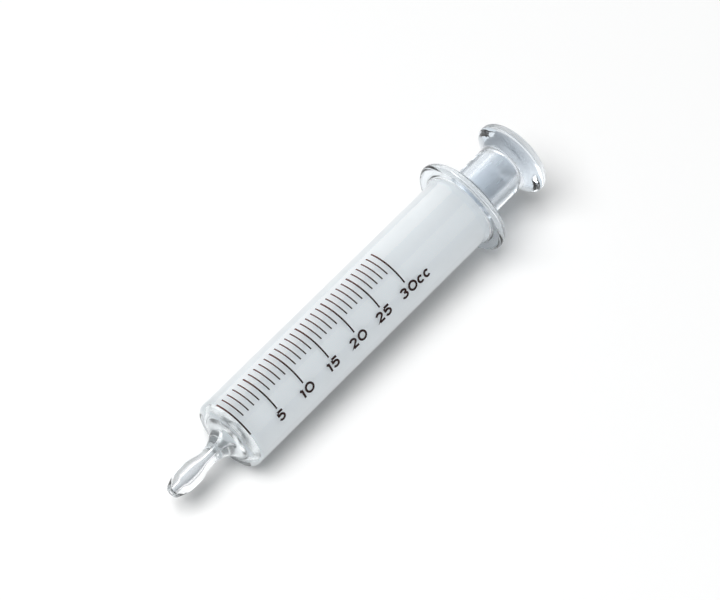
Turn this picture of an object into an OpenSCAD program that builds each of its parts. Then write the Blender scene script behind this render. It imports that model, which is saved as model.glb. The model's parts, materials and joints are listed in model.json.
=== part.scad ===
// All-glass syringe of two pieces: a graduated barrel with an olive-shaped nozzle,
// and a hollow ground plunger that slides in its bore. The axis lies along X,
// from the middle of the nozzle's open end (the origin) to the thumb button. Millimetres.

/* [Barrel] */
// Volume between the first and the last line of the scale, in cubic centimetres
capacity = 30; // [10:5:50]
// Diameter of the ground bore
bore_d = 22.8; // [16:0.1:30]
// Thickness of the barrel's wall
wall = 1.6; // [1.2:0.1:3]
// Length of bare barrel between the last line and the flange
grip_len = 34.8; // [20:0.1:60]
// Thickness of the end wall at the bore's rim
end_wall = 2.5; // [1.5:0.1:5]
// Outside radius of the barrel's front shoulder
shoulder_r = 2.5; // [1:0.1:4]
// Inside radius between the bore and the end wall
floor_r = 1.5; // [0.5:0.1:2.5]

/* [Flange] */
// How far the finger flange stands out from the barrel
flange_h = 5.1; // [4:0.1:8]
// Radius of the hollow where the flange leaves the barrel
flange_fillet_r = 2.4; // [0.5:0.1:3]
// Radius of the flange's front edge
flange_front_r = 1.5; // [0.8:0.1:2.4]
// Radius of the flange's rear edge
flange_rear_r = 1.8; // [1:0.1:3]
// Radius of the bore's mouth
mouth_r = 1.2; // [0.4:0.1:1.6]

/* [Nozzle] */
// Length of the nozzle, from its open end to the barrel's front
nozzle_len = 25.4; // [22:0.1:40]
// Diameter at the open end
tip_d = 4.9; // [4.2:0.1:6]
// Radius of the fire-polished lip
lip_r = 0.8; // [0.3:0.1:1]
// Diameter of the olive, over which a tube is pushed
olive_d = 7.9; // [6.5:0.1:10]
// Where the olive's widest stretch starts
olive_at = 6.5; // [5:0.1:9]
// Length of the olive's widest stretch
olive_land = 3; // [2:0.1:4]
// Diameter of the waist behind the olive
waist_d = 5.6; // [5:0.1:6.4]
// Where the waist starts
waist_at = 16; // [14:0.1:18]
// Length of the waist
waist_len = 1; // [0.5:0.1:3]
// Diameter of the passage at the open end
outlet_d = 1.8; // [1.2:0.1:2.4]
// Length of the passage at that diameter
outlet_len = 4; // [2:0.1:4.5]
// Diameter of the passage inside the olive
olive_bore_d = 3; // [2:0.1:3.6]
// Diameter of the passage inside the waist
waist_bore_d = 1.6; // [1:0.1:2.4]

/* [Plunger] */
// Gap between the ground plunger and the ground bore, on the radius
running_gap = 0.05; // [0.02:0.01:0.1]
// Gap between the plunger's front and the end wall when pushed home
seat_gap = 0.3; // [0.1:0.05:1]
// Thickness of the plunger's wall
plunger_wall = 1.8; // [1.2:0.1:3]
// Thickness of the plunger's front
plunger_front = 2.2; // [1.5:0.1:4]
// Depth of the ground length's end inside the bore's mouth
ground_depth = 3.5; // [3:0.1:10]
// Length over which the ground length is drawn in to the neck
shoulder_len = 2.6; // [2:0.1:6]
// How far the neck is drawn in from the ground length, on the radius
neck_step = 2.25; // [1:0.05:4]
// Length of neck that shows behind the flange
neck_show = 17.7; // [10:0.1:30]
// Thickness of the neck's wall
neck_wall = 3.8; // [2:0.1:6]
// How far the hollow reaches past the neck into the flare
hollow_reach = 3.5; // [0:0.1:4]
// Length of the hollow's rounded end
hollow_end_len = 2.5; // [1:0.1:5]

/* [Thumb button] */
// Diameter of the button
button_d = 28.1; // [24:0.1:34]
// Length over which the neck flares out to the button
flare_len = 5.6; // [4:0.1:12]
// Width of the button's rim
rim_w = 0.6; // [0.2:0.1:5]
// Radius of the button's rear edge
rim_r = 1.8; // [1:0.1:4]
// Radius of the button's domed rear face
dome_r = 60; // [30:1:120]
// Diameter of the flat in the middle of the dome
crown_d = 6; // [3:0.5:12]

/* [Scale] */
// Number of divisions
divisions = 30; // [10:1:60]
// Divisions from one long line to the next
long_every = 5; // [2:1:10]
// Turn of the lines' upper ends about the axis, from the top
line_start = -28; // [-90:1:90]
// Turn covered by a long line
long_turn = 68; // [30:1:90]
// Turn covered by a short line
short_turn = 42; // [15:1:60]
// Width of a long line
long_w = 0.55; // [0.2:0.05:0.8]
// Width of a short line
short_w = 0.45; // [0.2:0.05:0.6]
// Height of the fired enamel on the glass
enamel_h = 0.1; // [0.05:0.01:0.2]

/* [Hidden] */
$fn = 96;
arc_steps = 12;
curve_steps = 20;
cut_through = 1;

bore_r = bore_d / 2;
barrel_r = bore_r + wall;
flange_r = barrel_r + flange_h;
// The hollow leaves room for the flange's front edge
flange_hollow_r = min(flange_fillet_r, flange_h - flange_front_r);
tip_r = tip_d / 2;
olive_r = olive_d / 2;
waist_r = waist_d / 2;
outlet_r = outlet_d / 2;
olive_bore_r = olive_bore_d / 2;
waist_bore_r = waist_bore_d / 2;
plunger_r = bore_r - running_gap;
// The plunger's front edge follows the corner of the barrel's floor
plunger_edge_r = floor_r;
hollow_r = plunger_r - plunger_wall;
neck_r = plunger_r - neck_step;
neck_bore_r = neck_r - neck_wall;
button_r = button_d / 2;
crown_r = crown_d / 2;

// The scale's length follows from the volume and the bore
mm3_per_cc = 1000;
scale_len = capacity * mm3_per_cc / (PI * bore_r * bore_r);

// Places along the axis, from the nozzle's open end
olive_end = olive_at + olive_land;
waist_end = waist_at + waist_len;
floor_x = nozzle_len + end_wall;
plunger_x = floor_x + seat_gap;
// The first line lies at the plunger's front, clear of the rounded shoulder
zero_x = max(plunger_x, nozzle_len + shoulder_r + long_w / 2);
flange_x = zero_x + scale_len + grip_len;
crest_x = flange_x + flange_hollow_r + flange_front_r;
mouth_x = crest_x + flange_rear_r;
ground_end = mouth_x - ground_depth;
neck_x = ground_end + shoulder_len;
neck_end = mouth_x + neck_show;
rim_x = neck_end + flare_len;
// The dome starts where the rim's edge has turned to its slope, and ends at the crown
dome_start = asin((button_r - rim_r) / (dome_r - rim_r));
dome_end = asin(crown_r / dome_r);
dome_x = rim_x + rim_w - (dome_r - rim_r) * cos(dome_start);
button_x = dome_x + dome_r * cos(dome_end);

// Points of an outline are [radius, place along the axis].
// Arc about [c_r, c_x], with the angle measured from the axis towards larger radii
function arc(c_r, c_x, r, from, to) = [
    for (i = [0:arc_steps])
        let (a = from + (to - from) * i / arc_steps)
        [c_r + r * sin(a), c_x + r * cos(a)]
];

// Curve that leaves one diameter and meets the next without a corner
function ease(r0, x0, r1, x1) = [
    for (i = [0:curve_steps])
        let (t = i / curve_steps)
        [r0 + (r1 - r0) * (1 - cos(180 * t)) / 2, x0 + (x1 - x0) * t]
];

// Curve that rises from a slope at its start and ends along the axis
function swell(r0, x0, r1, x1) = [
    for (i = [0:curve_steps])
        let (t = i / curve_steps)
        [r0 + (r1 - r0) * sin(90 * t), x0 + (x1 - x0) * t]
];

// Quarter of an ellipse that starts along the axis and ends square to it
function bell(r0, x0, r1, x1) = [
    for (i = [0:curve_steps])
        let (a = 90 * i / curve_steps)
        [r0 + (r1 - r0) * (1 - cos(a)), x0 + (x1 - x0) * sin(a)]
];

// Turns an outline about the X axis
module turned(points)
    rotate([0, 90, 0])
        rotate_extrude()
            polygon(points);

module barrel_outside()
    turned(concat(
        [[0, 0]],
        arc(tip_r - lip_r, lip_r, lip_r, 180, 90),
        swell(tip_r, lip_r, olive_r, olive_at),
        ease(olive_r, olive_end, waist_r, waist_at),
        bell(waist_r, waist_end, barrel_r - shoulder_r, nozzle_len),
        arc(barrel_r - shoulder_r, nozzle_len + shoulder_r, shoulder_r, 180, 90),
        arc(barrel_r + flange_hollow_r, flange_x, flange_hollow_r, -90, 0),
        arc(flange_r - flange_front_r, crest_x, flange_front_r, 180, 90),
        arc(flange_r - flange_rear_r, crest_x, flange_rear_r, 90, 0),
        [[0, mouth_x]]
    ));

module barrel_inside()
    turned(concat(
        [[0, -cut_through], [outlet_r, -cut_through]],
        [[outlet_r, outlet_len]],
        ease(outlet_r, outlet_len, olive_bore_r, olive_at),
        ease(olive_bore_r, olive_end, waist_bore_r, waist_at),
        bell(waist_bore_r, waist_end, bore_r - floor_r, floor_x),
        arc(bore_r - floor_r, floor_x + floor_r, floor_r, 180, 90),
        arc(bore_r + mouth_r, mouth_x - mouth_r, -mouth_r, 90, 180),
        [[bore_r + mouth_r, mouth_x + cut_through], [0, mouth_x + cut_through]]
    ));

// Outer glass: nozzle, barrel and flange in one piece, open from end to end
module barrel()
    color([0.80, 0.88, 0.91, 0.45])
        difference() {
            barrel_outside();
            barrel_inside();
        }

module plunger_outside()
    turned(concat(
        [[0, plunger_x]],
        arc(plunger_r - plunger_edge_r, plunger_x + plunger_edge_r, plunger_edge_r, 180, 90),
        ease(plunger_r, ground_end, neck_r, neck_x),
        ease(neck_r, neck_end, button_r, rim_x),
        arc(button_r - rim_r, rim_x + rim_w, rim_r, 90, dome_start),
        arc(0, dome_x, dome_r, dome_start, dome_end),
        [[0, button_x]]
    ));

// Sealed hollow of the plunger, which narrows in the neck and ends round in the flare
module plunger_hollow()
    turned(concat(
        [[0, plunger_x + plunger_front]],
        arc(hollow_r - plunger_wall, plunger_x + plunger_front + plunger_wall, plunger_wall, 180, 90),
        ease(hollow_r, ground_end - plunger_wall, neck_bore_r, neck_x + plunger_wall),
        bell(neck_bore_r, neck_end + hollow_reach - hollow_end_len, 0, neck_end + hollow_reach)
    ));

// Inner glass: hollow ground plunger with its neck and thumb button
module plunger()
    color([0.93, 0.95, 0.96])
        difference() {
            plunger_outside();
            plunger_hollow();
        }

// One line of the scale, fired on the barrel's outside
module scale_line(i, line_w, line_turn)
    rotate([0, 90, 0])
        rotate_extrude(angle = line_turn, start = 180 + line_start)
            translate([barrel_r, zero_x + scale_len * i / divisions - line_w / 2])
                square([enamel_h, line_w]);

module scale_long_lines()
    color([0.16, 0.09, 0.08])
        for (i = [0:divisions])
            if (i % long_every == 0) scale_line(i, long_w, long_turn);

module scale_short_lines()
    color([0.16, 0.09, 0.08])
        for (i = [0:divisions])
            if (i % long_every != 0) scale_line(i, short_w, short_turn);

barrel();
plunger();
scale_long_lines();
scale_short_lines();
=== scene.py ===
# Looks of an all-glass enema syringe: a clear graduated barrel and a hollow ground plunger.
# The axis lies along X, from the middle of the nozzle's open end to the thumb button.
import json
import math

import bpy
from mathutils import Matrix, Vector
from mathutils.geometry import delaunay_2d_cdt


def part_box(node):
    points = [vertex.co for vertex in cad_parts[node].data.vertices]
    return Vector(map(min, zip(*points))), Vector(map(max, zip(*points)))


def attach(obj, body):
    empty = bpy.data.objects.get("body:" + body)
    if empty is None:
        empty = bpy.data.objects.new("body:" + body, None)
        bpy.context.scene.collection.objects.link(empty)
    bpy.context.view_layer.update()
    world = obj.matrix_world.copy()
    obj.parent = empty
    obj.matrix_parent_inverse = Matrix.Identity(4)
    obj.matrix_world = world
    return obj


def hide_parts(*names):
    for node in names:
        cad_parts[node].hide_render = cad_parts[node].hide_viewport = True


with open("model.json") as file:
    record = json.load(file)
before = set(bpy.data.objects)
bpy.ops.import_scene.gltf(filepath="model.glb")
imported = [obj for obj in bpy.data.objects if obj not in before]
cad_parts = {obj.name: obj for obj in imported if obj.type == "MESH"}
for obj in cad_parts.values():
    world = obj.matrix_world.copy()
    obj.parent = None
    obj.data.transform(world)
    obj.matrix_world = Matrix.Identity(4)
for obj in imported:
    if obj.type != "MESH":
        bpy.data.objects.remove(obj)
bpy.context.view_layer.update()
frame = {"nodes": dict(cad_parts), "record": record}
scene = bpy.context.scene

# Sizes are in millimetres, and MM turns them into Blender's metres
MM = 0.001
SEGMENTS = 256
ARC_STEPS = 16
CURVE_STEPS = 36
SAME_POINT = 1e-4
TINY = 1e-6

# Places and radii that the frame gives
MOUNTS = {mount["name"]: mount for mount in frame["record"]["mounts"]}
OUTLET_R = MOUNTS["outlet"]["dims"]["r_mm"]
OUTLET_LEN = MOUNTS["outlet"]["dims"]["length_mm"]
OLIVE_R = MOUNTS["nozzle"]["dims"]["r_mm"]
BARREL_R = MOUNTS["barrel_grip"]["dims"]["r_mm"]
MOUTH_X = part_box("barrel")[1].x / MM
FLANGE_R = -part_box("barrel")[0].z / MM
PLUNGER_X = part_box("plunger")[0].x / MM
BUTTON_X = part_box("plunger")[1].x / MM
BUTTON_R = -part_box("plunger")[0].z / MM
LONG_W = 0.55
ZERO_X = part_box("scale_long_lines")[0].x / MM + LONG_W / 2
LAST_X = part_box("scale_long_lines")[1].x / MM - LONG_W / 2

# Barrel
WALL = 1.6
SHOULDER_R = 2.5
FLOOR_R = 4.0
END_WALL = 2.5
NOZZLE_LEN = 25.4
TIP_R = 2.45
LIP_R = 0.8
INNER_LIP_R = 0.35
OLIVE_AT, OLIVE_END = 6.5, 9.5
WAIST_AT, WAIST_END = 16.0, 17.0
WAIST_R = 2.8
OLIVE_BORE_R = 1.5
WAIST_BORE_R = 0.8
FUNNEL_R = 3.4
FLANGE_FILLET_R = 2.4
FLANGE_FRONT_R = 1.5
FLANGE_REAR_R = 1.8
MOUTH_R = 1.2
BORE_R = BARREL_R - WALL
FLOOR_X = NOZZLE_LEN + END_WALL
CREST_X = MOUTH_X - FLANGE_REAR_R
FLANGE_X = CREST_X - FLANGE_FRONT_R - FLANGE_FILLET_R

# Plunger
RUNNING_GAP = 0.05
PLUNGER_WALL = 1.8
PLUNGER_FRONT = 2.2
GROUND_DEPTH = 3.5
SHOULDER_LEN = 2.6
NECK_STEP = 2.25
NECK_WALL = 3.8
HOLLOW_REACH = 2.2
HOLLOW_END_LEN = 2.5
FLARE_LEN = 4.3
RIM_W = 0.6
RIM_R = 1.8
DOME_R = 60.0
CROWN_R = 3.0
PLUNGER_R = BORE_R - RUNNING_GAP
NECK_R = PLUNGER_R - NECK_STEP
GROUND_END = MOUTH_X - GROUND_DEPTH
NECK_X = GROUND_END + SHOULDER_LEN
DOME_START = math.degrees(math.asin((BUTTON_R - RIM_R) / (DOME_R - RIM_R)))
DOME_END = math.degrees(math.asin(CROWN_R / DOME_R))
DOME_X = BUTTON_X - DOME_R * math.cos(math.radians(DOME_END))
RIM_X = DOME_X + (DOME_R - RIM_R) * math.cos(math.radians(DOME_START)) - RIM_W
NECK_END = RIM_X - FLARE_LEN

# Where the grinding starts in the bore, and how far it runs on over the plunger's shoulder
GROUND_START = FLOOR_X + 0.9
GROUND_RUNOUT = 0.5

# Numerals of the scale; the angle of their tops is turned about the axis from +Z towards -Y
NUMERAL_TOP = 44.0
NUMERAL_H = 3.7
NUMERAL_STROKE = 0.76
NUMERAL_GAP = 0.72
UNIT_H = 2.95
UNIT_TUCK = 0.55
ENAMEL_H = 0.1
ENAMEL_SINK = 0.01
NUMERAL_STEP = 5
DIVISIONS = 30


# Outlines are lists of (x, radius)

def arc(x, r, radius, start, end):
    """Arc about (x, r), with angles in degrees from +X towards larger radii."""
    turns = [math.radians(start + (end - start) * i / ARC_STEPS) for i in range(ARC_STEPS + 1)]
    return [(x + radius * math.cos(t), r + radius * math.sin(t)) for t in turns]


def curve(x0, r0, x1, r1, shape):
    """Curve from one radius to the next, where shape turns 0..1 along the axis into 0..1 of the rise."""
    steps = [i / CURVE_STEPS for i in range(CURVE_STEPS + 1)]
    return [(x0 + (x1 - x0) * t, r0 + (r1 - r0) * shape(t)) for t in steps]


def ease(x0, r0, x1, r1):
    """Leaves one radius and meets the next without a corner."""
    return curve(x0, r0, x1, r1, lambda t: (1 - math.cos(math.pi * t)) / 2)


def swell(x0, r0, x1, r1):
    """Rises from a slope at its start and ends along the axis."""
    return curve(x0, r0, x1, r1, lambda t: math.sin(math.pi / 2 * t))


def bell(x0, r0, x1, r1):
    """Quarter of an ellipse that starts along the axis and ends square to it."""
    turns = [math.pi / 2 * i / CURVE_STEPS for i in range(CURVE_STEPS + 1)]
    return [(x0 + (x1 - x0) * math.sin(t), r0 + (r1 - r0) * (1 - math.cos(t))) for t in turns]


def barrel_outline():
    """Closed outline of the wall: along the outside to the mouth, and back along the inside."""
    outside = (
        arc(LIP_R, TIP_R - LIP_R, LIP_R, 180, 90)
        + swell(LIP_R, TIP_R, OLIVE_AT, OLIVE_R)
        + ease(OLIVE_END, OLIVE_R, WAIST_AT, WAIST_R)
        + bell(WAIST_END, WAIST_R, NOZZLE_LEN, BARREL_R - SHOULDER_R)
        + arc(NOZZLE_LEN + SHOULDER_R, BARREL_R - SHOULDER_R, SHOULDER_R, 180, 90)
        + arc(FLANGE_X, BARREL_R + FLANGE_FILLET_R, FLANGE_FILLET_R, -90, 0)
        + arc(CREST_X, FLANGE_R - FLANGE_FRONT_R, FLANGE_FRONT_R, 180, 90)
        + arc(CREST_X, FLANGE_R - FLANGE_REAR_R, FLANGE_REAR_R, 90, 0)
        + arc(MOUTH_X - MOUTH_R, BORE_R + MOUTH_R, MOUTH_R, 0, -90)
        + [(GROUND_END, BORE_R)]
    )
    inside = (
        arc(INNER_LIP_R, OUTLET_R + INNER_LIP_R, INNER_LIP_R, 180, 270)
        + ease(OUTLET_LEN, OUTLET_R, OLIVE_AT, OLIVE_BORE_R)
        + ease(OLIVE_END, OLIVE_BORE_R, WAIST_AT, WAIST_BORE_R)
        + bell(WAIST_END, WAIST_BORE_R, FLOOR_X, FUNNEL_R)
        + arc(FLOOR_X + FLOOR_R, BORE_R - FLOOR_R, FLOOR_R, 180, 90)
    )
    return outside + inside[::-1]


def plunger_outside():
    """Outline from the closed front, along the ground cylinder, neck and flare, to the button's crown."""
    return (
        [(PLUNGER_X, 0)]
        + arc(PLUNGER_X + FLOOR_R, PLUNGER_R - FLOOR_R, FLOOR_R, 180, 90)
        + ease(GROUND_END, PLUNGER_R, NECK_X, NECK_R)
        + ease(NECK_END, NECK_R, RIM_X, BUTTON_R)
        + arc(RIM_X + RIM_W, BUTTON_R - RIM_R, RIM_R, 90, DOME_START)
        + arc(DOME_X, 0, DOME_R, DOME_START, DOME_END)
        + [(BUTTON_X, 0)]
    )


def plunger_hollow():
    """Outline of the sealed hollow, from the front to its round end in the flare."""
    hollow_r = PLUNGER_R - PLUNGER_WALL
    neck_bore_r = NECK_R - NECK_WALL
    front_x = PLUNGER_X + PLUNGER_FRONT
    end_x = NECK_END + HOLLOW_REACH
    return (
        [(front_x, 0)]
        + arc(front_x + PLUNGER_WALL, hollow_r - PLUNGER_WALL, PLUNGER_WALL, 180, 90)
        + ease(GROUND_END - PLUNGER_WALL, hollow_r, NECK_X + PLUNGER_WALL, neck_bore_r)
        + bell(end_x - HOLLOW_END_LEN, neck_bore_r, end_x, 0)
    )


# Meshes

def turned_point(x, r, turn):
    """Point in metres at a radius, turned about the axis from +Z towards -Y."""
    return (x * MM, -r * math.sin(turn) * MM, r * math.cos(turn) * MM)


def without_repeats(outline):
    kept = [outline[0]]
    for point in outline[1:]:
        if math.dist(point, kept[-1]) > SAME_POINT:
            kept.append(point)
    return kept


def add_shell(verts, faces, outline, closed):
    """Turns an outline about X; a point on the axis becomes one vertex."""
    rings = []
    for x, r in without_repeats(outline):
        count = 1 if r < TINY else SEGMENTS
        rings.append([len(verts) + i for i in range(count)])
        verts += [turned_point(x, r, 2 * math.pi * i / SEGMENTS) for i in range(count)]
    pairs = list(zip(rings, rings[1:])) + ([(rings[-1], rings[0])] if closed else [])
    for a, b in pairs:
        for i in range(SEGMENTS):
            j = (i + 1) % SEGMENTS
            corners = [a[i % len(a)], a[j % len(a)], b[j % len(b)], b[i % len(b)]]
            faces.append(list(dict.fromkeys(corners)))


def add_piece(name, verts, faces, body, materials, smooth=True):
    """Makes a piece that rides a body."""
    mesh = bpy.data.meshes.new(name)
    mesh.from_pydata(verts, [], faces)
    mesh.validate()
    for material in materials:
        mesh.materials.append(material)
    mesh.polygons.foreach_set("use_smooth", [smooth] * len(mesh.polygons))
    piece = bpy.data.objects.new(name, mesh)
    scene.collection.objects.link(piece)
    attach(piece, body)
    return piece


# Material nodes

def new_material(name):
    material = bpy.data.materials.new(name)
    material.use_nodes = True
    tree = material.node_tree
    shader = next(n for n in tree.nodes if n.type == "BSDF_PRINCIPLED")
    return material, tree, shader


def noise(tree, scale, density, detail):
    """Noise in the piece's own metres; a larger density makes the grain finer along that axis."""
    coords = tree.nodes.new("ShaderNodeTexCoord")
    mapping = tree.nodes.new("ShaderNodeMapping")
    mapping.inputs["Scale"].default_value = density
    texture = tree.nodes.new("ShaderNodeTexNoise")
    texture.inputs["Scale"].default_value = scale
    texture.inputs["Detail"].default_value = detail
    tree.links.new(coords.outputs["Object"], mapping.inputs["Vector"])
    tree.links.new(mapping.outputs["Vector"], texture.inputs["Vector"])
    return texture.outputs["Fac"]


def ramp(tree, factor, low, high):
    """Runs from one colour, or a socket that gives one, to another as the factor rises."""
    node = tree.nodes.new("ShaderNodeMix")
    node.data_type = "RGBA"
    colour_a, colour_b, colour_out = node.inputs[6], node.inputs[7], node.outputs[2]
    for socket, colour in ((colour_a, low), (colour_b, high)):
        if isinstance(colour, tuple):
            socket.default_value = (*colour, 1)
        else:
            tree.links.new(colour, socket)
    tree.links.new(factor, node.inputs["Factor"])
    return colour_out


def spread(tree, factor, low, high):
    """Runs from one number to another as the factor rises."""
    node = tree.nodes.new("ShaderNodeMapRange")
    node.inputs["To Min"].default_value = low
    node.inputs["To Max"].default_value = high
    tree.links.new(factor, node.inputs["Value"])
    return node.outputs["Result"]


def between(tree, length, low, high):
    """Goes from 0 to 1 while a length in metres goes from low to high, which are in millimetres."""
    node = tree.nodes.new("ShaderNodeMapRange")
    node.inputs["From Min"].default_value = low * MM
    node.inputs["From Max"].default_value = high * MM
    tree.links.new(length, node.inputs["Value"])
    return node.outputs["Result"]


def place_on(tree, axis):
    """Place along one of the piece's axes, in metres."""
    coords = tree.nodes.new("ShaderNodeTexCoord")
    parts = tree.nodes.new("ShaderNodeSeparateXYZ")
    tree.links.new(coords.outputs["Object"], parts.inputs["Vector"])
    return parts.outputs[axis]


def axis_radius(tree):
    """Distance from the piece's axis, in metres."""
    coords = tree.nodes.new("ShaderNodeTexCoord")
    across = tree.nodes.new("ShaderNodeVectorMath")
    across.operation = "MULTIPLY"
    across.inputs[1].default_value = (0, 1, 1)
    length = tree.nodes.new("ShaderNodeVectorMath")
    length.operation = "LENGTH"
    tree.links.new(coords.outputs["Object"], across.inputs[0])
    tree.links.new(across.outputs["Vector"], length.inputs[0])
    return length.outputs["Value"]


def tint_along(tree, stops):
    """Colour that changes along the axis, through stops of (place in millimetres, colour)."""
    first, last = stops[0][0], stops[-1][0]
    node = tree.nodes.new("ShaderNodeValToRGB")
    elements = node.color_ramp.elements
    while len(elements) < len(stops):
        elements.new(1)
    for element, (place, colour) in zip(elements, stops):
        element.position = (place - first) / (last - first)
        element.color = (*colour, 1)
    tree.links.new(between(tree, place_on(tree, "X"), first, last), node.inputs["Fac"])
    return node.outputs["Color"]


def bump(tree, shader, height, strength, distance):
    """Small unevenness, with its depth in millimetres."""
    node = tree.nodes.new("ShaderNodeBump")
    node.inputs["Strength"].default_value = strength
    node.inputs["Distance"].default_value = distance * MM
    tree.links.new(height, node.inputs["Height"])
    tree.links.new(node.outputs["Normal"], shader.inputs["Normal"])


# Materials

GLASS_IOR = 1.47
NOZZLE_TINT = (0.95, 0.965, 0.975)
# Darker at the thick front end: partly the glass's own pale blue-grey, partly painted shade for the darker
# surroundings seen through it
FRONT_TINT_AND_SHADE = (0.85, 0.89, 0.91)
BARREL_TINT = (0.95, 0.97, 0.985)
# Darker at the flange: partly the glass's own colour, partly painted shade for the surroundings seen
# through it
FLANGE_TINT_AND_SHADE = (0.88, 0.915, 0.945)
# Painted shade that darkens the nozzle's bore, where the rough film lies
NOZZLE_SHADE_TINT = (0.66, 0.68, 0.71)
# Neck and flare: partly the glass's own pale blue-grey, partly painted shade for the darker surroundings
# seen through the thick glass
NECK_TINT_AND_SHADE = (0.75, 0.80, 0.855)
FLARE_TINT_AND_SHADE = (0.70, 0.765, 0.83)
# The button's rim is left almost clear so it shows white against the darker flare: a painted highlight
RIM_HIGHLIGHT_TINT = (0.93, 0.955, 0.975)
FROST_TINTS = (0.957, 0.979, 0.997), (0.985, 0.995, 1.0)
ENAMEL_TINTS = (0.012, 0.006, 0.006), (0.045, 0.016, 0.013)
# Painted highlight: the lines are lighter and redder towards their upper ends, where glare falls
PAINTED_GLARE_TINT = (0.15, 0.035, 0.028)
# Painted light: a pale underside for the enamel, so the print throws less shade into the ground bore
UNDERSIDE_LIGHT_TINT = (0.75, 0.74, 0.73)

# Places along the axis where the tints change
FRONT_X = NOZZLE_LEN - 2
BEHIND_FLOOR_X = FLOOR_X + 3
NOZZLE_SHADE_FADE_X = WAIST_END + 4
FLARE_X = NECK_END + 2
FLARE_FADE_X, RIM_FADE_X = RIM_X - 1.2, RIM_X + 0.2
# The barrel's tint deepens into painted shade at the front end and the flange
BARREL_STOPS = [
    (0, NOZZLE_TINT), (WAIST_END, NOZZLE_TINT), (FRONT_X, FRONT_TINT_AND_SHADE), (FLOOR_X, FRONT_TINT_AND_SHADE),
    (BEHIND_FLOOR_X, BARREL_TINT), (GROUND_END, BARREL_TINT), (FLANGE_X, FLANGE_TINT_AND_SHADE),
]
# Painted shade in the nozzle's bore, fading out behind the waist
NOZZLE_SHADE_STOPS = [(0, NOZZLE_SHADE_TINT), (WAIST_END, NOZZLE_SHADE_TINT), (NOZZLE_SHADE_FADE_X, NOZZLE_TINT), (FLOOR_X, NOZZLE_TINT)]
# The plunger's tint: painted shade on the neck and flare, and a painted highlight where the rim is left
# clear
PLUNGER_STOPS = [
    (0, NECK_TINT_AND_SHADE), (NECK_END, NECK_TINT_AND_SHADE), (FLARE_X, FLARE_TINT_AND_SHADE), (FLARE_FADE_X, FLARE_TINT_AND_SHADE),
    (RIM_FADE_X, RIM_HIGHLIGHT_TINT),
]

# Patterns of the film on the glass, and how rough it is at its least and most
SMEARS = {"scale": 90, "density": (1, 1, 1)}
STREAKS = {"scale": 700, "density": (0.08, 1, 1)}
POLISHED = (0.0, 0.03)
FILMED = (0.06, 0.32)
UNPOLISHED = (0.15, 0.5)

# Shares of the light that pass through ground glass
PLUNGER_CLEARNESS = 0.0
BORE_CLEARNESS = 0.07

# Heights above the wall where the enamel's pale underside, which is painted light, starts and is full, and
# places in y where the painted glare on the lines starts and is full
UNDERSIDE_LIGHT_TOP, UNDERSIDE_LIGHT_FULL = 0.04, 0.01
GLARE_FROM, GLARE_TO = -2.0, 6.0


def clear_glass(name, stops, pattern, roughness):
    """Clear glass with a tint that changes along the axis, partly the glass's own pale blue-grey and
    partly painted shade, with a painted highlight where it is left clear, and a film that makes it uneven.
    """
    material, tree, shader = new_material(name)
    tree.links.new(tint_along(tree, stops), shader.inputs["Base Color"])
    shader.inputs["Transmission Weight"].default_value = 1
    shader.inputs["IOR"].default_value = GLASS_IOR
    film = noise(tree, **pattern, detail=3)
    tree.links.new(spread(tree, film, *roughness), shader.inputs["Roughness"])
    waves = noise(tree, scale=60, density=(1, 4, 4), detail=2)
    bump(tree, shader, waves, strength=0.05, distance=0.4)
    return material


def ground_glass(name, clearness):
    """Glass that grinding has left matt and white."""
    material, tree, shader = new_material(name)
    grain = noise(tree, scale=1400, density=(2.2, 0.6, 0.6), detail=4)
    tree.links.new(ramp(tree, grain, *FROST_TINTS), shader.inputs["Base Color"])
    tree.links.new(spread(tree, grain, low=0.65, high=0.9), shader.inputs["Roughness"])
    shader.inputs["Transmission Weight"].default_value = clearness
    shader.inputs["IOR"].default_value = GLASS_IOR
    bump(tree, shader, grain, strength=0.15, distance=0.05)
    return material


def fired_enamel():
    """Dark enamel, lighter and redder towards the lines' upper ends as a painted glare, with a pale
    underside, painted light that lightens the print's shade on the ground bore.
    """
    material, tree, shader = new_material("enamel")
    mottle = noise(tree, scale=900, density=(1, 1, 1), detail=3)
    # Painted glare, rising towards +Y, the lines' upper ends
    painted_glare = between(tree, place_on(tree, "Y"), GLARE_FROM, GLARE_TO)
    # Painted light: pale below the glass's surface, lightening the print's shade on the ground bore
    underside_light = between(tree, axis_radius(tree), BARREL_R + UNDERSIDE_LIGHT_TOP, BARREL_R + UNDERSIDE_LIGHT_FULL)
    surface = ramp(tree, painted_glare, ramp(tree, mottle, *ENAMEL_TINTS), PAINTED_GLARE_TINT)
    tree.links.new(ramp(tree, underside_light, surface, UNDERSIDE_LIGHT_TINT), shader.inputs["Base Color"])
    tree.links.new(spread(tree, mottle, low=0.5, high=0.8), shader.inputs["Roughness"])
    shader.inputs["Specular IOR Level"].default_value = 0.15
    bump(tree, shader, mottle, strength=0.2, distance=0.03)
    return material


def floor_paper():
    """White paper under the syringe."""
    material, _, shader = new_material("floor_paper")
    shader.inputs["Base Color"].default_value = (0.88, 0.875, 0.87, 1)
    shader.inputs["Roughness"].default_value = 0.9
    shader.inputs["Specular IOR Level"].default_value = 0.1
    return material


# Numerals, drawn as strokes: x to the right and y up

LINE_STEP = 0.2
BOW_STEP, BOW_LEAST = 9, 6
MITRE_LEAST = 0.45
WELD = 1e-5


def line_points(*points):
    """Points along straight runs, close enough to bend round the barrel."""
    out = [points[0]]
    for a, b in zip(points, points[1:]):
        count = max(1, math.ceil(math.dist(a, b) / LINE_STEP))
        for i in range(1, count + 1):
            out.append((a[0] + (b[0] - a[0]) * i / count, a[1] + (b[1] - a[1]) * i / count))
    return out


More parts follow.
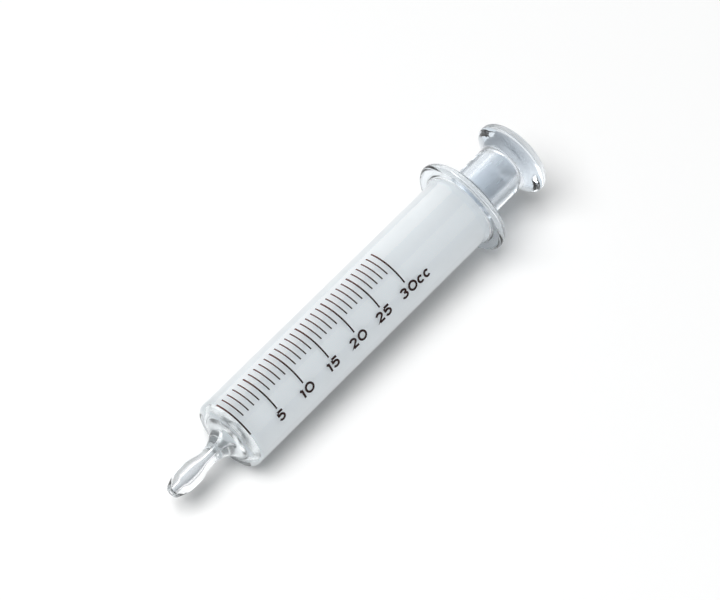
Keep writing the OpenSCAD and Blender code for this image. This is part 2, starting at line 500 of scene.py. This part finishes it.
def bow(x, y, rx, ry, start, end):
    """Part of an ellipse, with angles in degrees from +x, anticlockwise."""
    count = max(BOW_LEAST, math.ceil(abs(end - start) / BOW_STEP))
    turns = [math.radians(start + (end - start) * i / count) for i in range(count + 1)]
    return [(x + rx * math.cos(t), y + ry * math.sin(t)) for t in turns]


def glyph_strokes(sign):
    """(advance width, strokes) of one sign; a stroke is a run of points on its middle."""
    h, half, inset = NUMERAL_H, NUMERAL_STROKE / 2, 0.1
    top, low = h - half, half
    if sign == "0":
        width = 3.75
        return width, [bow(width / 2, h / 2, width / 2 - half, h / 2 - half, 0, 360)]
    if sign == "1":
        width, flag = 1.5, 0.75
        return width, [line_points((half, top - flag), (width - half, top), (width - half, 0))]
    if sign == "2":
        width, mid = 2.95, 2.5
        return width, [
            bow(width / 2, mid, width / 2 - half, top - mid, 165, -35)
            + line_points((half + inset, low), (width, low))
        ]
    if sign == "3":
        width, mid = 3.05, 2.0
        return width, [
            bow((width - inset) / 2, (top + mid) / 2, width / 2 - half - inset, (top - mid) / 2, 160, -90),
            bow(width / 2, (mid + low) / 2, width / 2 - half, (mid - low) / 2, 90, -160),
        ]
    if sign == "5":
        width, mid = 2.9, 1.33
        left, right, stem_end = half + inset, width - 0.15, 1.75
        return width, [
            line_points((right, top), (left, top), (left, stem_end)),
            bow(width / 2 - inset, mid, width / 2 - half + inset, mid - low, 140, -150),
        ]
    width, height, gap = 2.8, UNIT_H, 42
    letter_c = bow(width / 2, height / 2, width / 2 - half, height / 2 - half, gap, 360 - gap)
    return width - UNIT_TUCK, [letter_c]


def ribbon(points):
    """Quads of a stroke's width along a run of points, mitred where it bends."""
    looped = math.dist(points[0], points[-1]) < TINY
    if looped:
        points = points[:-1]
    sides = []
    for i, p in enumerate(points):
        before = points[i - 1] if looped or i else p
        after = points[(i + 1) % len(points)] if looped or i + 1 < len(points) else p
        runs = [Vector(b) - Vector(a) for a, b in ((before, p), (p, after)) if a != b]
        normals = [Vector((-run.y, run.x)).normalized() for run in runs]
        mitre = (normals[0] + normals[-1]).normalized()
        reach = NUMERAL_STROKE / 2 / max(MITRE_LEAST, mitre.dot(normals[0]))
        sides.append((Vector(p) + mitre * reach, Vector(p) - mitre * reach))
    pairs = list(zip(sides, sides[1:])) + ([(sides[-1], sides[0])] if looped else [])
    return [[a[1], b[1], b[0], a[0]] for a, b in pairs]


def covers(quad, point):
    """Says whether a convex quad, with its corners in anticlockwise order, holds a point."""
    sides = zip(quad, quad[1:] + quad[:1])
    return all((b - a).cross(point - a) >= 0 for a, b in sides)


def joined(quads):
    """Points and triangles of the area that overlapping quads cover together."""
    corners = [corner for quad in quads for corner in quad]
    loops = [list(range(4 * i, 4 * i + 4)) for i in range(len(quads))]
    points, _, triangles, _, _, _ = delaunay_2d_cdt(corners, [], loops, 0, WELD)
    middles = [sum((points[i] for i in t), Vector((0, 0))) / 3 for t in triangles]
    kept = [t for t, middle in zip(triangles, middles) if any(covers(quad, middle) for quad in quads)]
    return points, kept


def add_text(name, text, x, material):
    """Enamel signs on the barrel's wall, which start at x."""
    quads, at = [], 0.0
    for sign in text:
        width, strokes = glyph_strokes(sign)
        for stroke in strokes:
            quads += [[corner + Vector((at, 0)) for corner in quad] for quad in ribbon(stroke)]
        at += width + NUMERAL_GAP
    points, triangles = joined(quads)
    base = math.radians(NUMERAL_TOP) + NUMERAL_H / BARREL_R
    verts = []
    for r in (BARREL_R + ENAMEL_H, BARREL_R - ENAMEL_SINK):
        verts += [turned_point(x + p.x, r, base - p.y / BARREL_R) for p in points]
    under = len(points)
    faces = [list(t) for t in triangles] + [[i + under for i in reversed(t)] for t in triangles]
    edges = {(t[i], t[(i + 1) % len(t)]) for t in triangles for i in range(len(t))}
    faces += [[b, a, a + under, b + under] for a, b in edges if (b, a) not in edges]
    return add_piece(name, verts, faces, "barrel", [material], smooth=False)


def text_width(text):
    return sum(glyph_strokes(sign)[0] for sign in text) + NUMERAL_GAP * (len(text) - 1)


# Pieces

def add_barrel(clear, ground, film):
    """Clear glass with a ground bore, and a rough film inside the nozzle and on the floor, which carries
    painted shade in the nozzle.
    """
    rearward = 0.9
    verts, faces = [], []
    add_shell(verts, faces, barrel_outline(), closed=True)
    barrel = add_piece("barrel_glass", verts, faces, "barrel", [clear, ground, film])
    for face in barrel.data.polygons:
        x = face.center.x / MM
        r = math.hypot(face.center.y, face.center.z) / MM
        outwards = face.normal.y * face.center.y + face.normal.z * face.center.z
        if r < BORE_R + WALL / 2 and GROUND_START < x < MOUTH_X - MOUTH_R:
            face.material_index = 1
        elif LIP_R < x < GROUND_START and (outwards < -TINY or face.normal.x > rearward):
            face.material_index = 2
    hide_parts("barrel")


def add_plunger(clear, ground, hollow):
    """Ground outside as far as the shoulder, clear neck and button, and an unpolished hollow."""
    verts, faces = [], []
    add_shell(verts, faces, plunger_outside(), closed=False)
    outside_count = len(faces)
    add_shell(verts, faces, plunger_hollow()[::-1], closed=False)
    plunger = add_piece("plunger_glass", verts, faces, "plunger", [clear, ground, hollow])
    for face in plunger.data.polygons:
        if face.index >= outside_count:
            face.material_index = 2
        elif face.center.x < (GROUND_END + GROUND_RUNOUT) * MM:
            face.material_index = 1
    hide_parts("plunger")


def add_numerals(enamel):
    """A numeral at the end of each long line but the first, and the unit after the last."""
    for value in range(NUMERAL_STEP, DIVISIONS + 1, NUMERAL_STEP):
        text = str(value)
        line_x = ZERO_X + (LAST_X - ZERO_X) * value / DIVISIONS
        add_text(f"numeral_{text}", text, line_x - text_width(text) / 2, enamel)
        if value == DIVISIONS:
            add_text("unit_cc", "cc", line_x + text_width(text) / 2 + NUMERAL_GAP / 2, enamel)


def dress_lines(enamel):
    for node in ("scale_long_lines", "scale_short_lines"):
        lines = frame["nodes"][node]
        lines.data.materials.clear()
        lines.data.materials.append(enamel)


glass = clear_glass("clear_glass", BARREL_STOPS, SMEARS, POLISHED)
# Rough film on the nozzle's bore and the barrel's floor, with painted shade in the nozzle
film_and_shade_glass = clear_glass("film_and_shade_glass", NOZZLE_SHADE_STOPS, STREAKS, FILMED)
thick_glass = clear_glass("thick_glass", PLUNGER_STOPS, SMEARS, POLISHED)
hollow_glass = clear_glass("hollow_glass", PLUNGER_STOPS, STREAKS, UNPOLISHED)
plunger_ground = ground_glass("ground_glass", PLUNGER_CLEARNESS)
bore_ground = ground_glass("ground_bore", BORE_CLEARNESS)
enamel = fired_enamel()

add_barrel(glass, bore_ground, film_and_shade_glass)
add_plunger(thick_glass, plunger_ground, hollow_glass)
add_numerals(enamel)
dress_lines(enamel)


# Stage: the syringe lies on its flange and on the barrel's front edge, so the floor tilts under it

FLOOR_HALF = 3000
FRONT_REST = Vector((NOZZLE_LEN + SHOULDER_R, 0, -BARREL_R))
REAR_REST = Vector((CREST_X, 0, -FLANGE_R))
AIM = Vector((83, 0, 0))
SKY = (0.955, 0.985, 1, 1)
SKY_LIGHT, SKY_SEEN = 0.35, 1.0


def add_floor():
    along = (REAR_REST - FRONT_REST).normalized() * FLOOR_HALF
    across = Vector((0, FLOOR_HALF, 0))
    corners = [(-1, -1), (1, -1), (1, 1), (-1, 1)]
    points = [(REAR_REST + along * a + across * b) * MM for a, b in corners]
    mesh = bpy.data.meshes.new("floor")
    mesh.from_pydata(points, [], [[0, 1, 2, 3]])
    mesh.materials.append(floor_paper())
    floor = bpy.data.objects.new("floor", mesh)
    scene.collection.objects.link(floor)
    return floor


def seen_rays(tree, other, seen):
    """One number for rays from the camera, in mirrors and through glass, and another for the rest."""
    path = tree.nodes.new("ShaderNodeLightPath")
    total = path.outputs["Is Camera Ray"]
    for name in ("Is Glossy Ray", "Is Transmission Ray"):
        either = tree.nodes.new("ShaderNodeMath")
        either.operation = "MAXIMUM"
        tree.links.new(total, either.inputs[0])
        tree.links.new(path.outputs[name], either.inputs[1])
        total = either.outputs[0]
    return spread(tree, total, other, seen)


def add_world():
    """White surroundings that show in the glass and add a little light."""
    world = bpy.data.worlds.new("studio")
    world.use_nodes = True
    scene.world = world
    tree = world.node_tree
    background = next(n for n in tree.nodes if n.type == "BACKGROUND")
    background.inputs["Color"].default_value = SKY
    tree.links.new(seen_rays(tree, SKY_LIGHT, SKY_SEEN), background.inputs["Strength"])


def add_lamp(name, place, size, power, colour=(1, 1, 1)):
    """Rectangular lamp that points at the syringe's middle; the camera doesn't see it."""
    data = bpy.data.lights.new(name, "AREA")
    data.shape = "RECTANGLE"
    data.size, data.size_y = size[0] * MM, size[1] * MM
    data.energy = power
    data.color = colour
    lamp = bpy.data.objects.new(name, data)
    lamp.location = Vector(place) * MM
    lamp.rotation_mode = "QUATERNION"
    lamp.rotation_quaternion = (AIM - Vector(place)).to_track_quat("-Z", "Y")
    lamp.visible_camera = False
    scene.collection.objects.link(lamp)
    return lamp


def link_light(lamp, collection_name, thing, state):
    """Lets a lamp light one thing only, or everything but that thing."""
    group = bpy.data.collections.new(collection_name)
    group.objects.link(thing)
    group.collection_objects[0].light_linking.link_state = state
    lamp.light_linking.receiver_collection = group


def add_camera():
    """The photograph's view, fitted on the scale's lines and the outline."""
    elevation, heading = math.radians(60.49), math.radians(48.46)
    distance, shift_right, shift_up = 1033.0, 4.28, 6.63
    level = math.cos(elevation)
    ahead = Vector((level * math.sin(heading), level * math.cos(heading), -math.sin(elevation)))
    right = Vector((math.cos(heading), -math.sin(heading), 0))
    up = right.cross(ahead)
    place = AIM - ahead * distance + right * shift_right + up * shift_up
    data = bpy.data.cameras.new("camera")
    data.sensor_width = 36
    data.lens = 159.43
    data.clip_start, data.clip_end = 0.01, 100
    camera = bpy.data.objects.new("camera", data)
    turn = Matrix((right, up, -ahead)).transposed().to_4x4()
    camera.matrix_world = Matrix.Translation(place * MM) @ turn
    scene.collection.objects.link(camera)
    scene.camera = camera


scene.view_settings.view_transform = "Standard"
floor = add_floor()
add_world()
window = add_lamp("window", place=(452, 865, 420), size=(1500, 1100), power=8.5, colour=(1, 0.985, 0.96))
link_light(window, "lit_by_window", floor, "EXCLUDE")
fill = add_lamp("fill", place=(450, -700, 700), size=(900, 900), power=2.3, colour=(0.92, 0.97, 1))
link_light(fill, "lit_by_fill", floor, "EXCLUDE")
overhead = add_lamp("overhead", place=(-617, 375, 2500), size=(1700, 2000), power=69.0)
link_light(overhead, "lit_by_overhead", floor, "INCLUDE")
add_camera()
